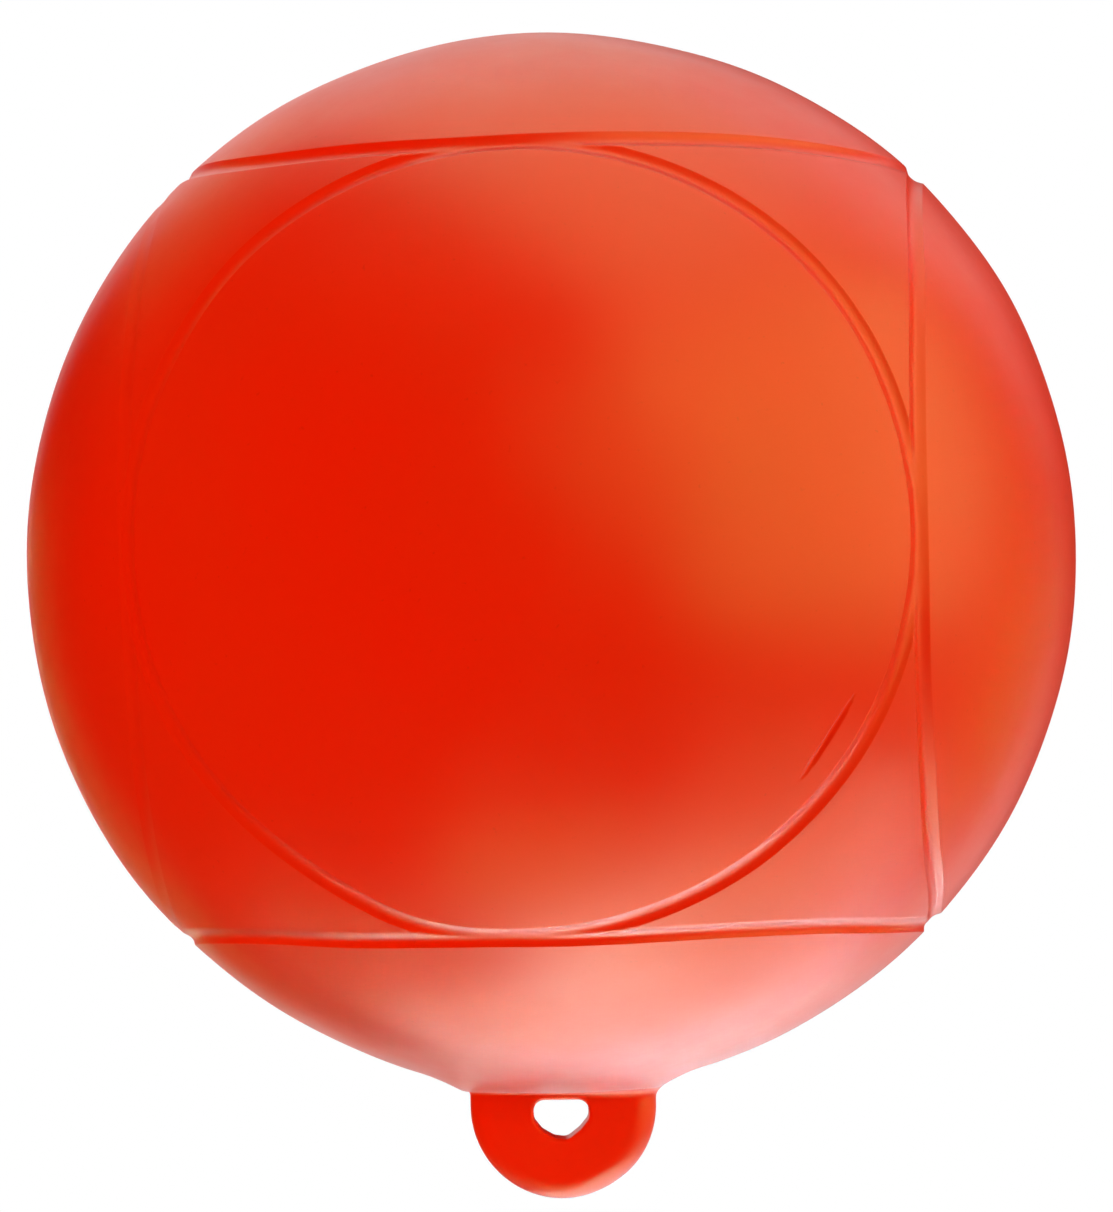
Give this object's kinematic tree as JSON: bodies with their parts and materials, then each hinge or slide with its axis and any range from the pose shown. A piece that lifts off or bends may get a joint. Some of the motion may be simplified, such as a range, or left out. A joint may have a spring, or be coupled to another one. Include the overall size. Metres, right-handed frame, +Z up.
{
  "type": "slalom buoy",
  "caption": "Inflatable ball-shaped slalom course buoy with moulded ring grooves, a flat lug with a rope eye below and a needle valve behind.",
  "frame": {"origin": "centre of the rope eye in the lug, half-way through its thickness", "axes": "+Z up from the rope eye through the centre of the ball, +Y along the rope eye's axis towards the valve side, +X across the lug. The front faces -Y."},
  "size_m": [0.2299, 0.2298, 0.2558],
  "materials": {
    "vinyl": "semi-gloss soft vinyl",
    "valve_rubber": "matt"
  },
  "bodies": {
    "root": {"buoy_shell": "vinyl", "needle_valve": "valve_rubber"}
  },
  "joints": []
}
